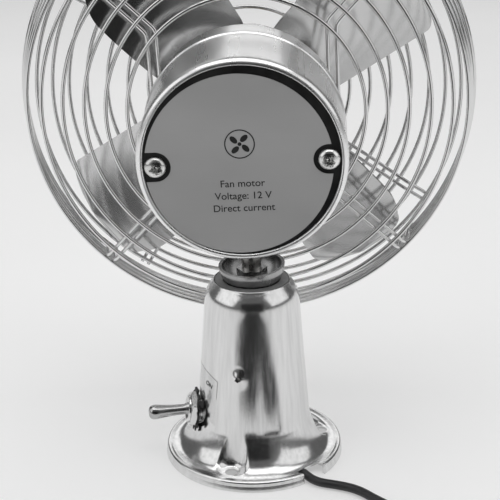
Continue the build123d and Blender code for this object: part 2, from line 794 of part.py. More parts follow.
UPRIGHT = {
    "pedestal_shell": pedestal_shell,
    "swivel_seat": swivel_seat,
    "swivel_ring": swivel_ring,
    "switch_body": switch_body,
    "switch_bushing": switch_bushing,
    "switch_lock_washer": switch_lock_washer,
    "switch_nut": switch_nut,
    "switch_terminals": switch_terminals,
    "toggle_lever": toggle_lever,
    "cable_clamp": cable_clamp,
    "clamp_screw": clamp_screw,
    "cord_tail": cord_tail,
    "lower_leads": lower_leads,
    "power_cord": power_cord,
    "cord_coil": cord_coil,
    "cord_tie": cord_tie,
    "plug_strain_relief": plug_strain_relief,
    "plug_body": plug_body,
    "plug_side_contacts": plug_side_contacts,
    "plug_nose": plug_nose,
    "plug_fuse": plug_fuse,
    "plug_tip_spring": plug_tip_spring,
    "plug_tip": plug_tip,
}

HEAD_LEVEL = {
    "swivel_cup": swivel_cup,
    "hollow_stud": hollow_stud,
    "stud_flange_nut": stud_flange_nut,
    "stud_lock_nut": stud_lock_nut,
    "pressure_bowl": pressure_bowl,
    "swivel_spring": swivel_spring,
    "spring_nut": spring_nut,
    "upper_leads": upper_leads,
}

HEAD_AXIAL = {
    "can_rear_shell": can_rear_shell,
    "can_front_shell": can_front_shell,
    "rear_cover": rear_cover,
    "label_plate": label_plate,
    "motor_bolts": motor_bolts,
    "bolt_nuts": bolt_nuts,
    "motor_case": motor_case,
    "motor_end_plates": motor_end_plates,
    "magnets": magnets,
    "motor_bushes": motor_bushes,
    "brush_holder": brush_holder,
    "brushes": brushes,
    "rear_guard_rings": rear_guard_rings,
    "side_guard_rings": side_guard_rings,
    "rear_rim_ring": lambda: wire_ring(RIM_R, REAR_RIM_W, RIM_WIRE_R),
    "front_rim_ring": lambda: wire_ring(RIM_R, FRONT_RIM_W, RIM_WIRE_R),
    "front_guard_rings": front_guard_rings,
    "rear_ribs": rear_ribs,
    "front_ribs": front_ribs,
    "guard_clips": guard_clips,
    "front_badge": front_badge,
    "rotor_shaft": rotor_shaft,
    "commutator": commutator,
    "armature_core": armature_core,
    "armature_windings": armature_windings,
    "propeller": propeller,
    "propeller_hub": propeller_hub,
    "hub_set_screw": hub_set_screw,
}


def write_parts():
    os.makedirs("parts", exist_ok=True)
    for name, make in UPRIGHT.items():
        export_step(make(), f"parts/{name}.step")
    for name, make in HEAD_LEVEL.items():
        export_step(on_head(make()), f"parts/{name}.step")
    for name, make in HEAD_AXIAL.items():
        export_step(on_axis(make()), f"parts/{name}.step")


write_parts()
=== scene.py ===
"""Chromed 12 V desk fan: its looks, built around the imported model.

Sizes are written in millimetres times MM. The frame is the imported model's: +Z up, origin at
the centre of the pedestal's foot, +Y towards the fan's back.
"""
import math
import random

import bpy
from mathutils import Matrix, Vector


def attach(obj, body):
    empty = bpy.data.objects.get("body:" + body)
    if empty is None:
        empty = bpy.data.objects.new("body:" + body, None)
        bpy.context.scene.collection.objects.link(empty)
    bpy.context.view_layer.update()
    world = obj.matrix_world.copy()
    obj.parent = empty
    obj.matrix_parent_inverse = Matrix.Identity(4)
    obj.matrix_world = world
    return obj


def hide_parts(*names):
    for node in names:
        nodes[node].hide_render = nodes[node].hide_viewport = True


MM = 0.001

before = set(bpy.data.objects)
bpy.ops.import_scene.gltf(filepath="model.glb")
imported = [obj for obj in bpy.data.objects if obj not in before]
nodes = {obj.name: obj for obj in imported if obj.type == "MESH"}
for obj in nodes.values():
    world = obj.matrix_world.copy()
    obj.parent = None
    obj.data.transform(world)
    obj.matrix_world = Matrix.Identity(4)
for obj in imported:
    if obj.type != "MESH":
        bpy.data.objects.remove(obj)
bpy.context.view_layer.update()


# ------------------------------------------------------------------ places

def turn(degrees, axis):
    return Matrix.Rotation(math.radians(degrees), 4, axis)


def shift(x, y, z):
    return Matrix.Translation((x * MM, y * MM, z * MM))


def frame_of(x_dir, z_dir, at):
    """A place with its own X and Z directions, at a point in millimetres."""
    x, z = Vector(x_dir).normalized(), Vector(z_dir).normalized()
    y = z.cross(x)
    rows = [(x[k], y[k], z[k], at[k] * MM) for k in range(3)]
    return Matrix(rows + [(0, 0, 0, 1)])


SWIVEL_Z = 86.0
AXIS_RISE = 50.8
HEAD = (
    shift(0, 0, SWIVEL_Z) @ turn(-2.3, "Z") @ turn(-3.9, "X") @ turn(2.5, "Y")
    @ shift(0, 0, -SWIVEL_Z)
)
# u to +X, v up and w along the fan's axis towards its front
AXIAL = HEAD @ frame_of((1, 0, 0), (0, -1, 0), (0, 0, SWIVEL_Z + AXIS_RISE))
# the same, looked at from behind: x to the reader's right, y up, z out of the back
FROM_BEHIND = AXIAL @ turn(180, "Y")


def column_place(polar, z, r, lean=0.0):
    """On the column: x up it, z out of it."""
    a, up = math.radians(polar), math.radians(lean)
    out = (math.cos(a) * math.cos(up), math.sin(a) * math.cos(up), math.sin(up))
    return frame_of((-out[2] * math.cos(a), -out[2] * math.sin(a), math.cos(up)), out,
                    (r * math.cos(a), r * math.sin(a), z))


SWITCH_POLAR, SWITCH_RISE = math.radians(10.0), math.radians(8.0)
SWITCH_OUT = (
    math.cos(SWITCH_POLAR) * math.cos(SWITCH_RISE),
    math.sin(SWITCH_POLAR) * math.cos(SWITCH_RISE),
    math.sin(SWITCH_RISE),
)
SWITCH = frame_of(
    (-math.sin(SWITCH_POLAR), math.cos(SWITCH_POLAR), 0), SWITCH_OUT,
    (24.4 * math.cos(SWITCH_POLAR), 24.4 * math.sin(SWITCH_POLAR), 20.9),
)
LEVER = SWITCH @ shift(0, 0, 3.2) @ turn(8, "X")


# ------------------------------------------------------------------ modelling

def pick(piece):
    bpy.ops.object.select_all(action="DESELECT")
    piece.select_set(True)
    bpy.context.view_layer.objects.active = piece


def named(name):
    piece = bpy.context.object
    piece.name = name
    piece.data.name = name
    return piece


def settle(piece, place=None):
    """Puts a piece in its place and moves that place into its mesh."""
    if place is not None:
        piece.matrix_basis = place @ piece.matrix_basis
    pick(piece)
    bpy.ops.object.transform_apply(location=True, rotation=True, scale=True)
    return piece


def tidy_mesh(piece, merge=0.012):
    """Closes seams and poles, and turns the faces outwards."""
    pick(piece)
    bpy.ops.object.mode_set(mode="EDIT")
    bpy.ops.mesh.select_all(action="SELECT")
    bpy.ops.mesh.remove_doubles(threshold=merge * MM)
    bpy.ops.mesh.normals_make_consistent(inside=False)
    bpy.ops.object.mode_set(mode="OBJECT")
    return piece


def smooth(piece, angle=35):
    pick(piece)
    bpy.ops.object.shade_smooth_by_angle(angle=math.radians(angle))
    return piece


def turned(name, stations, segments=96):
    """A circle drawn out from station to station (radius, height) about Z."""
    bpy.ops.object.select_all(action="DESELECT")
    r, z = stations[0]
    bpy.ops.mesh.primitive_circle_add(vertices=segments, radius=r * MM, location=(0, 0, z * MM))
    piece = named(name)
    bpy.ops.object.mode_set(mode="EDIT")
    bpy.ops.mesh.select_all(action="SELECT")
    for (r, z), (next_r, next_z) in zip(stations, stations[1:]):
        rise = (0, 0, (next_z - z) * MM)
        bpy.ops.mesh.extrude_edges_move(TRANSFORM_OT_translate={"value": rise})
        grow = next_r / r
        bpy.ops.transform.resize(value=(grow, grow, 1), center_override=(0, 0, next_z * MM))
    bpy.ops.object.mode_set(mode="OBJECT")
    settle(piece)
    return tidy_mesh(piece)


def block(name, size, place=None, bevel=0.0, segments=2):
    """A cube of a size, with its edges eased."""
    bpy.ops.object.select_all(action="DESELECT")
    bpy.ops.mesh.primitive_cube_add(size=1)
    piece = named(name)
    piece.scale = [s * MM for s in size]
    settle(piece, None)
    if bevel:
        ease(piece, bevel, segments)
    return settle(piece, place) if place is not None else piece


def ease(piece, width, segments=2, angle=30):
    pick(piece)
    bevel = piece.modifiers.new("ease", "BEVEL")
    bevel.width = width * MM
    bevel.segments = segments
    bevel.limit_method = "ANGLE"
    bevel.angle_limit = math.radians(angle)
    bpy.ops.object.modifier_apply(modifier="ease")


def thicken(piece, wall, offset=-1.0):
    pick(piece)
    solid = piece.modifiers.new("wall", "SOLIDIFY")
    solid.thickness = wall * MM
    solid.offset = offset
    solid.use_even_offset = True
    bpy.ops.object.modifier_apply(modifier="wall")


def cut(piece, tool, how="DIFFERENCE"):
    """Takes a tool out of a piece (or keeps what they share) and removes the tool."""
    pick(piece)
    boolean = piece.modifiers.new("cut", "BOOLEAN")
    boolean.operation = how
    boolean.solver = "EXACT"
    boolean.object = tool
    bpy.ops.object.modifier_apply(modifier="cut")
    bpy.data.objects.remove(tool, do_unlink=True)


def join(name, pieces):
    bpy.ops.object.select_all(action="DESELECT")
    for piece in pieces:
        piece.select_set(True)
    bpy.context.view_layer.objects.active = pieces[0]
    if len(pieces) > 1:
        bpy.ops.object.join()
    return named(name)


def copy_of(piece, place=None):
    twin = piece.copy()
    twin.data = piece.data.copy()
    bpy.context.collection.objects.link(twin)
    return settle(twin, place) if place is not None else twin


def lettering(name, words, size, place, weight=0.0, sink=0.12):
    """Printed words: x to the reader's right."""
    bpy.ops.object.select_all(action="DESELECT")
    bpy.ops.object.text_add()
    text = bpy.context.object
    text.data.body = words
    text.data.size = size * MM
    text.data.align_x = "CENTER"
    text.data.align_y = "CENTER"
    text.data.offset = weight * MM
    text.data.extrude = sink / 2 * MM
    bpy.ops.object.convert(target="MESH")
    return settle(named(name), place)


# ------------------------------------------------------------------ finishes

def finish(name, colour, metallic=0.0, roughness=0.4):
    material = bpy.data.materials.new(name)
    material.use_nodes = True
    shader = material.node_tree.nodes["Principled BSDF"]
    shader.inputs["Base Color"].default_value = (*colour, 1)
    shader.inputs["Metallic"].default_value = metallic
    shader.inputs["Roughness"].default_value = roughness
    return material


def pattern(material, scale, stretch=(1, 1, 1), detail=3.0, place=None, kind="ShaderNodeTexNoise"):
    """A noise pattern on the piece's own coordinates, in patches per metre."""
    tree = material.node_tree
    where = tree.nodes.new("ShaderNodeTexCoord")
    mapping = tree.nodes.new("ShaderNodeMapping")
    mapping.inputs["Scale"].default_value = stretch
    if place is not None:
        mapping.vector_type = "TEXTURE"
        mapping.inputs["Location"].default_value = place.to_translation()
        mapping.inputs["Rotation"].default_value = place.to_euler()
        mapping.inputs["Scale"].default_value = [1 / s for s in stretch]
    noise = tree.nodes.new(kind)
    noise.inputs["Scale"].default_value = scale
    if "Detail" in noise.inputs:
        noise.inputs["Detail"].default_value = detail
    tree.links.new(where.outputs["Object"], mapping.inputs["Vector"])
    tree.links.new(mapping.outputs["Vector"], noise.inputs["Vector"])
    return noise.outputs[0] if kind != "ShaderNodeTexNoise" else noise.outputs["Fac"]


def spread(material, value, low, high, socket, start=0.35, end=0.65):
    """Leads a pattern into a shader socket, between two values or two colours."""
    tree = material.node_tree
    shader = tree.nodes["Principled BSDF"]
    if isinstance(low, tuple):
        ramp = tree.nodes.new("ShaderNodeValToRGB")
        ramp.color_ramp.elements[0].position = start
        ramp.color_ramp.elements[1].position = end
        ramp.color_ramp.elements[0].color = (*low, 1)
        ramp.color_ramp.elements[1].color = (*high, 1)
        tree.links.new(value, ramp.inputs["Fac"])
        tree.links.new(ramp.outputs["Color"], shader.inputs[socket])
        return
    scale = tree.nodes.new("ShaderNodeMapRange")
    for key, number in (("From Min", start), ("From Max", end), ("To Min", low), ("To Max", high)):
        scale.inputs[key].default_value = number
    tree.links.new(value, scale.inputs["Value"])
    tree.links.new(scale.outputs["Result"], shader.inputs[socket])


def relief(material, value, height, strength=1.0):
    """Adds a pattern as relief of a height in millimetres, over any that is there."""
    tree = material.node_tree
    shader = tree.nodes["Principled BSDF"]
    bump = tree.nodes.new("ShaderNodeBump")
    bump.inputs["Distance"].default_value = height * MM
    bump.inputs["Strength"].default_value = strength
    before = shader.inputs["Normal"].links
    if before:
        tree.links.new(before[0].from_socket, bump.inputs["Normal"])
    tree.links.new(value, bump.inputs["Height"])
    tree.links.new(bump.outputs["Normal"], shader.inputs["Normal"])


def plated(name, light, dark, low, high, streak=(1, 1, 1), grain=0.004, place=None):
    """Bright plate: faint streaks in its gloss and a fine orange-peel relief."""
    material = finish(name, (light, light, light), metallic=1.0, roughness=low)
    streaks = pattern(material, 55, streak, 4.0, place)
    spread(material, streaks, (dark,) * 3, (light,) * 3, "Base Color", 0.3, 0.6)
    spread(material, pattern(material, 190, streak, 5.0, place), high, low, "Roughness")
    relief(material, pattern(material, 900, detail=2.0), grain)
    return material


def moulded(name, colour, roughness, grain=0.02, scale=900, lighter=1.5):
    """Moulded plastic, rubber or board with a fine grain."""
    material = finish(name, colour, roughness=roughness)
    pale = tuple(min(1.0, c * lighter + 0.004) for c in colour)
    spread(material, pattern(material, 60, detail=4.0), colour, pale, "Base Color")
    spread(material, pattern(material, 240), roughness - 0.07, roughness + 0.1, "Roughness")
    relief(material, pattern(material, scale, detail=2.0), grain)
    return material


def dull_metal(name, colour, roughness=0.35, scratch=(1, 1, 1), grain=0.01):
    """Zinc plate, sheet steel, brass or copper with handling marks."""
    material = finish(name, colour, metallic=1.0, roughness=roughness)
    worn = tuple(c * 0.72 for c in colour)
    spread(material, pattern(material, 120, scratch, 5.0), worn, colour, "Base Color")
    spread(material, pattern(material, 420, scratch), roughness + 0.12, roughness - 0.08, "Roughness")
    relief(material, pattern(material, 1400, scratch, 2.0), grain)
    return material


PEDESTAL_CHROME = plated("pedestal_chrome", 0.76, 0.67, 0.14, 0.23, (9, 9, 0.08), 0.006)
CAN_CHROME = plated("can_chrome", 0.90, 0.87, 0.26, 0.31, (1, 1, 0.1), 0.001, AXIAL)
WIRE_CHROME = plated("wire_chrome", 0.76, 0.73, 0.06, 0.09, grain=0.0002)
SWIVEL_CHROME = plated("swivel_chrome", 0.42, 0.32, 0.20, 0.30, grain=0.002)
LEVER_PLATE = plated("lever_plate", 0.50, 0.40, 0.14, 0.26, grain=0.002)
SWITCH_CHROME = plated("switch_chrome", 0.82, 0.70, 0.08, 0.18, grain=0.002)
BADGE_CHROME = plated("badge_chrome", 0.84, 0.78, 0.07, 0.12, grain=0.001)
BLADE_METAL = plated("blade_metal", 0.61, 0.58, 0.17, 0.19, (1, 1, 0.05), 0.0003, AXIAL)
GRAY_PLATE = dull_metal("gray_plate", (0.44, 0.44, 0.44), 0.42)
GRAY_PLATE.node_tree.nodes["Principled BSDF"].inputs["Metallic"].default_value = 0.35
SCREW_PLATE = dull_metal("screw_plate", (0.88, 0.88, 0.87), 0.20, grain=0.004)
ZINC = dull_metal("zinc_plate", (0.62, 0.61, 0.59), 0.30)
DARK_STEEL = dull_metal("dark_steel", (0.07, 0.07, 0.07), 0.42)
MOTOR_STEEL = dull_metal("motor_steel", (0.50, 0.49, 0.46), 0.40)
LAMINATION = dull_metal("lamination", (0.30, 0.31, 0.33), 0.45, (1, 60, 1))
COPPER = dull_metal("enamelled_copper", (0.70, 0.32, 0.15), 0.28, (1, 30, 1))
BRONZE = dull_metal("sintered_bronze", (0.52, 0.34, 0.16), 0.55, grain=0.03)
BRASS = dull_metal("bare_brass", (0.72, 0.55, 0.26), 0.28)
LABEL_GRAY = finish("label_gray", (0.46, 0.46, 0.465), metallic=0.2, roughness=0.42)
spread(LABEL_GRAY, pattern(LABEL_GRAY, 30, (0.5, 1, 1), 2.0, AXIAL), (0.43,) * 3, (0.48,) * 3, "Base Color")
spread(LABEL_GRAY, pattern(LABEL_GRAY, 1500, (0.02, 1, 1), 3.0, AXIAL), 0.36, 0.48, "Roughness")
relief(LABEL_GRAY, pattern(LABEL_GRAY, 1500, (0.02, 1, 1), 3.0, AXIAL), 0.004)
PRINT_BLACK = moulded("printed_black", (0.012, 0.012, 0.012), 0.5, 0.002)
BLACK_COVER = moulded("black_cover", (0.006, 0.006, 0.006), 0.38, 0.012)
PLUG_BLACK = moulded("plug_black", (0.012, 0.012, 0.013), 0.42, 0.015)
SWITCH_BLACK = moulded("switch_black", (0.016, 0.016, 0.016), 0.40)
FERRITE = moulded("ferrite", (0.05, 0.05, 0.055), 0.55)
CARBON = moulded("brush_carbon", (0.02, 0.02, 0.02), 0.5)
BOARD = moulded("brown_board", (0.13, 0.055, 0.02), 0.45)
CORD_SHEATH = moulded("cord_sheath", (0.010, 0.010, 0.011), 0.42, 0.010, 1600)
LEAD_SKIN = moulded("lead_skin", (0.012, 0.012, 0.012), 0.38)
FUSE_GLASS = finish("fuse_glass", (0.9, 0.93, 0.93), roughness=0.05)
FUSE_GLASS.node_tree.nodes["Principled BSDF"].inputs["Transmission Weight"].default_value = 1.0
relief(FUSE_GLASS, pattern(FUSE_GLASS, 300), 0.005)

CAD_FINISHES = {
    "swivel_seat": ZINC, "swivel_ring": GRAY_PLATE, "switch_body": SWITCH_BLACK,
    "switch_bushing": SWITCH_CHROME, "switch_terminals": BRASS, "cable_clamp": ZINC,
    "clamp_screw": ZINC, "cord_tail": CORD_SHEATH, "lower_leads": LEAD_SKIN,
    "plug_strain_relief": CORD_SHEATH, "plug_body": PLUG_BLACK, "plug_side_contacts": ZINC,
    "plug_nose": PLUG_BLACK, "plug_fuse": FUSE_GLASS, "plug_tip_spring": ZINC, "plug_tip": BRASS,
    "swivel_cup": SWIVEL_CHROME, "hollow_stud": ZINC, "stud_flange_nut": SWIVEL_CHROME,
    "stud_lock_nut": ZINC, "pressure_bowl": ZINC, "swivel_spring": ZINC, "spring_nut": ZINC,
    "upper_leads": LEAD_SKIN, "can_rear_shell": CAN_CHROME, "can_front_shell": CAN_CHROME,
    "rear_cover": BLACK_COVER, "label_plate": LABEL_GRAY, "motor_bolts": ZINC, "bolt_nuts": ZINC,
    "motor_case": MOTOR_STEEL, "motor_end_plates": MOTOR_STEEL, "magnets": FERRITE,
    "motor_bushes": BRONZE, "brush_holder": BOARD, "brushes": CARBON,
    "rear_guard_rings": WIRE_CHROME, "side_guard_rings": WIRE_CHROME,
    "rear_rim_ring": WIRE_CHROME, "front_rim_ring": WIRE_CHROME,
    "front_guard_rings": WIRE_CHROME, "rear_ribs": WIRE_CHROME, "front_ribs": WIRE_CHROME,
    "guard_clips": WIRE_CHROME, "front_badge": BADGE_CHROME, "rotor_shaft": DARK_STEEL,
    "commutator": COPPER, "armature_core": LAMINATION, "armature_windings": COPPER,
    "propeller": BLADE_METAL, "propeller_hub": BRASS, "hub_set_screw": DARK_STEEL,
    "pedestal_shell": PEDESTAL_CHROME, "switch_lock_washer": DARK_STEEL,
    "switch_nut": SWITCH_CHROME, "toggle_lever": SWITCH_CHROME, "cord_tie": PLUG_BLACK,
}


def coat(piece, material):
    piece.data.materials.clear()
    piece.data.materials.append(material)
    return piece


def hand_over(piece, body, material, slot, *replaced):
    """The last step for a piece: its finish, its body and what it stands for."""
    coat(piece, material)
    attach(piece, body)
    if replaced:
        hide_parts(*replaced)
    return piece


for node, material in CAD_FINISHES.items():
    coat(nodes[node], material)


# ------------------------------------------------------------------ camera

CAMERA_AT = Vector((4.06, 447.8, 256.93)) * MM
CAMERA_RIGHT = Vector((-0.9998, 0.0136, -0.0152))
CAMERA_DOWN = Vector((0.0189, 0.3473, -0.9376))
CAMERA_FORWARD = Vector((-0.0075, -0.9377, -0.3475))
FOCAL_LENGTH = 84.04

bpy.ops.object.camera_add()
camera = bpy.context.object
rows = [(CAMERA_RIGHT[k], -CAMERA_DOWN[k], -CAMERA_FORWARD[k], CAMERA_AT[k]) for k in range(3)]
camera.matrix_world = Matrix(rows + [(0, 0, 0, 1)]).normalized()
camera.data.lens = FOCAL_LENGTH
camera.data.clip_start = 0.01
bpy.context.scene.camera = camera


# ------------------------------------------------------------------ cord

CORD_D = 3.6
CORD_Z = CORD_D / 2 + 0.02
COIL_X, COIL_Y = -62.0, 102.0
COLUMN_RADII = (15.6, 19.2, 22.8, 26.4)
LAYER_Z = (2.7, 6.0, 9.3)
PLUG_Z = 10.4
CORD_ROUTE = (
    (-13.5, 15.5), (-19.6, 25.6), (-24.4, 33.6), (-33.8, 36.4), (-41.5, 40.2),
    (-48.0, 48.2), (-56.6, 56.6), (-67.6, 63.8), (-78.6, 72.2), (-86.2, 82.8), (-88.4, 94.0),
)
LEAD_ROUTE = ((-46.5, 123.6), (-37.8, 115.8), (-28.6, 109.4), (-18.0, 107.0), (-6.0, 107.0))
STEPS_PER_TURN = 12
CORNER_CUT = 1.035


def coil_points():
    """Turns of the tied coil: inwards, outwards a layer up, then on top and off."""
    inwards = [(r, LAYER_Z[0]) for r in reversed(COLUMN_RADII)]
    outwards = [(r, LAYER_Z[1]) for r in COLUMN_RADII]
    last = [(COLUMN_RADII[2], LAYER_Z[2]), (COLUMN_RADII[3], LAYER_Z[2])]
    lanes = inwards + outwards + last
    start, end = 180.0, 60.0 - 360.0 * 9
    steps = round((start - end) / 360 * STEPS_PER_TURN)
    points = []
    for k in range(steps + 1):
        angle = start + (end - start) * k / steps
        along = k / STEPS_PER_TURN
        lane = min(int(along), len(lanes) - 1)
        after = min(lane + 1, len(lanes) - 1)
        # each turn lies in its lane, and steps to the next one in its last third
        step = max(0.0, (along - lane - 0.67) / 0.33)
        r = (lanes[lane][0] * (1 - step) + lanes[after][0] * step) * CORNER_CUT
        z = lanes[lane][1] * (1 - step) + lanes[after][1] * step
        a = math.radians(angle)
        points.append((COIL_X + r * math.cos(a), COIL_Y + r * math.sin(a), z))
    return points


def cord_points():
    lead_z = [LAYER_Z[2] + (PLUG_Z - LAYER_Z[2]) * share for share in (0.0, 0.3, 0.8, 1.0, 1.0)]
    floor = [(x, y, CORD_Z) for x, y in CORD_ROUTE[:-1]]
    floor.append((*CORD_ROUTE[-1], LAYER_Z[0]))
    return floor + coil_points() + [(x, y, z) for (x, y), z in zip(LEAD_ROUTE, lead_z)]


def nurbs(name, points, width):
    curve = bpy.data.curves.new(name, "CURVE")
    curve.dimensions = "3D"
    spline = curve.splines.new("NURBS")
    spline.points.add(len(points) - 1)
    for point, (x, y, z) in zip(spline.points, points):
        point.co = (x * MM, y * MM, z * MM, 1)
    spline.order_u = 3
    spline.use_endpoint_u = True
    curve.resolution_u = 6
    curve.bevel_depth = width / 2 * MM
    curve.bevel_resolution = 5
    curve.use_fill_caps = True
    piece = bpy.data.objects.new(name, curve)
    bpy.context.collection.objects.link(piece)
    return piece


cord = nurbs("power_flex", cord_points(), CORD_D)
hand_over(cord, "base", CORD_SHEATH, "cord_rubber", "power_cord", "cord_coil")


# ------------------------------------------------------------------ pedestal

SHEET = 1.0
COLUMN_SLOPE = 0.0784
SCREW_POLARS = (71.0, 191.0, 311.0)
NUB_POLAR, NUB_Z = 73.5, 43.0
NOTCH_POLAR = 131.0
TEAR_PULLS = (1.5, 1.5, 0.8, 0.8, 1.15, 1.15, 0.7, 0.7, 1.3)
FOOT_PROFILE = [
    (38.0, 0.0), (37.92, 0.5), (37.70, 1.2), (37.45, 2.0), (37.32, 2.4), (37.30, 2.65),
    (37.5, 2.9), (37.62, 3.3), (37.45, 3.8), (37.05, 4.2), (36.5, 4.35), (36.0, 4.2), (35.5, 3.9),
    (35.0, 3.75), (34.4, 3.72), (33.8, 3.8), (33.1, 3.98), (32.4, 4.22), (31.6, 4.6),
    (30.8, 5.1), (30.0, 5.75), (29.2, 6.5), (28.5, 7.3), (27.8, 8.25), (27.1, 9.4), (26.5, 10.6),
    (25.9, 12.0), (25.35, 13.4), (24.85, 14.9), (24.4, 16.4),
]
NECK_PROFILE = [
    (19.60, 71.0), (19.35, 72.5), (18.95, 73.8), (18.4, 75.0), (17.75, 76.1), (17.1, 77.0),
    (16.6, 77.65), (16.35, 77.95), (16.2, 78.25), (16.0, 78.55), (15.8, 78.68), (15.62, 78.6),
    (15.56, 78.3), (15.56, 77.6), (15.56, 76.7),
]


def column_r(z):
    return 23.85 - (z - 18) * COLUMN_SLOPE


def near_nub(z):
    return 37 < z < 49


INNER_FOOT = [
    (23.35, 16.4), (23.85, 14.8), (24.4, 13.1), (24.95, 11.6), (25.6, 10.1), (26.3, 8.8),
    (27.05, 7.6), (27.8, 6.6), (28.6, 5.7), (29.4, 4.95), (30.2, 4.3), (31.0, 3.78), (31.9, 3.32),
    (32.9, 2.97), (33.9, 2.77), (34.8, 2.77), (35.5, 2.92), (36.1, 3.15), (36.5, 3.1),
    (36.65, 2.7), (36.7, 0.0), (38.0, 0.0),
]


def column_rows():
    rows, z = [], 18.0
    while z < 70:
        rows.append(z)
        z += 0.8 if near_nub(z) else 2.4
    return rows


def pedestal_profile():
    """The sheet's outside up to the curled neck, then its inside down to the foot."""
    outside = [(column_r(z), z) for z in column_rows()]
    inside = [(column_r(z) - SHEET, z) for z in reversed(column_rows())]
    neck_inside = [(15.9, 76.2), (16.75, 75.3), (17.45, 74.1), (18.05, 72.7), (18.5, 71.0)]
    return FOOT_PROFILE + outside + NECK_PROFILE + neck_inside + inside + INNER_FOOT


def foot_top(r):
    """Height of the foot's outside at a radius."""
    for (r0, z0), (r1, z1) in zip(FOOT_PROFILE[8:], FOOT_PROFILE[9:]):
        if r1 <= r <= r0:
            return z0 + (z1 - z0) * (r0 - r) / (r0 - r1)
    return 18.0


def ease_between(value, low, high):
    share = min(1.0, max(0.0, (value - low) / (high - low)))
    return share * share * (3 - 2 * share)


def press_dimples(piece):
    """Screw seats pressed into the foot, and the wall drawn out around the clamp's screw."""
    seats = [(30 * math.cos(math.radians(a)), 30 * math.sin(math.radians(a))) for a in SCREW_POLARS]
    a = math.radians(NUB_POLAR)
    nub = Vector((column_r(NUB_Z) * math.cos(a), column_r(NUB_Z) * math.sin(a), NUB_Z))
    for vertex in piece.data.vertices:
        x, y, z = vertex.co / MM
        if z < 17 and math.hypot(x, y) > 24:
            for seat in seats:
                away = math.hypot(x - seat[0], y - seat[1])
                seat_z = 4.1 + 0.3 * ease_between(away, 3.0, 4.6)
                if z < foot_top(math.hypot(x, y)) - 0.45:
                    seat_z -= SHEET
                pressed = seat_z + (z - seat_z) * ease_between(away, 3.9, 7.4)
                if pressed < z:
                    vertex.co.z = pressed * MM
        away = (Vector((x, y, z)) - nub).length
        if away < 9 and y > 0:
            grow = 1.25 * math.exp(-((away / 2.7) ** 2)) + 0.25 * math.exp(-((away / 4.6) ** 2))
            out = Vector((x, y, 0)).normalized()
            vertex.co += out * grow * MM


def drill(name, place, r, low, high, segments=48):
    bpy.ops.object.select_all(action="DESELECT")
    bpy.ops.mesh.primitive_cylinder_add(
        vertices=segments, radius=r * MM, depth=(high - low) * MM, location=(0, 0, (high + low) / 2 * MM)
    )
    return settle(named(name), place)


def make_pedestal():
    pedestal = turned("pedestal", pedestal_profile(), 256)
    press_dimples(pedestal)
    tools = [
        drill("screw_way", turn(a, "Z") @ shift(30, 0, 0), 2.7, 0.5, 9) for a in SCREW_POLARS
    ]
    tools.append(drill("switch_way", SWITCH, 6.15, -8, 5))
    nub_face = column_place(NUB_POLAR, NUB_Z, column_r(NUB_Z))
    tools.append(block("notch_way", (5.0, 11.4, 9), turn(NOTCH_POLAR, "Z") @ shift(35.6, 0, 2)))
    cut(pedestal, join("ways", tools))
    tear = drill("nub_way", None, 1.25, -3, 5, 9)
    for vertex, pull in zip(tear.data.vertices, TEAR_PULLS * 2):
        vertex.co.x *= pull
        vertex.co.y *= pull * 0.85
    cut(pedestal, settle(tear, nub_face @ turn(24, "Z")))
    assert len(pedestal.data.vertices) > 20000
    return smooth(pedestal, 40)


hand_over(make_pedestal(), "base", PEDESTAL_CHROME, "chrome", "pedestal_shell")


def make_clamp_screw():
    """A self-tapping screw: pan head inside, its point through the nub."""
    body = [
        (0.005, -5.0), (1.6, -5.0), (2.5, -4.6), (2.8, -3.9), (2.8, -3.1), (1.3, -3.05), (1.3, -2.0),
    ]
    z = -2.0
    while z < 0.2:
        body += [(0.92, z + 0.12), (1.16, z + 0.42), (0.92, z + 0.72)]
        z += 0.75
    body += [(0.8, 0.6), (0.5, 1.1), (0.15, 1.5), (0.005, 1.55)]
    screw = turned("clamp_tapping_screw", body, 24)
    settle(screw, column_place(NUB_POLAR, NUB_Z, 21.0))
    return smooth(screw, 40)


hand_over(make_clamp_screw(), "base", ZINC, "zinc_steel", "clamp_screw")


# ------------------------------------------------------------------ switch

def hexagon(name, across, low, high):
    bpy.ops.object.select_all(action="DESELECT")
    bpy.ops.mesh.primitive_cylinder_add(
        vertices=6, radius=across / math.sqrt(3) * MM, depth=(high - low) * MM,
        location=(0, 0, (low + high) / 2 * MM),
    )
    return settle(named(name))


def make_hex_nut(name, across, low, high, bore, place):
    """A hexagon with its corners turned off and a countersunk bore."""
    nut = hexagon(name, across, low, high)
    corner, flat = across / math.sqrt(3), across / 2
    lens = turned("lens", [
        (0.005, low), (flat * 0.99, low), (corner + 0.1, low + (corner - flat) * 0.6),
        (corner + 0.1, high - (corner - flat) * 0.6), (flat * 0.99, high), (0.005, high),
    ], 64)
    cut(nut, lens, "INTERSECT")
    way = turned("way", [
        (0.005, low - 1), (bore + 0.5, low - 1), (bore + 0.5, low), (bore, low + 0.4),
        (bore, high - 0.4), (bore + 0.5, high), (bore + 0.5, high + 1), (0.005, high + 1),
    ], 48)
    cut(nut, way)
    ease(nut, 0.12, 2, 25)
    return smooth(settle(nut, place), 32)


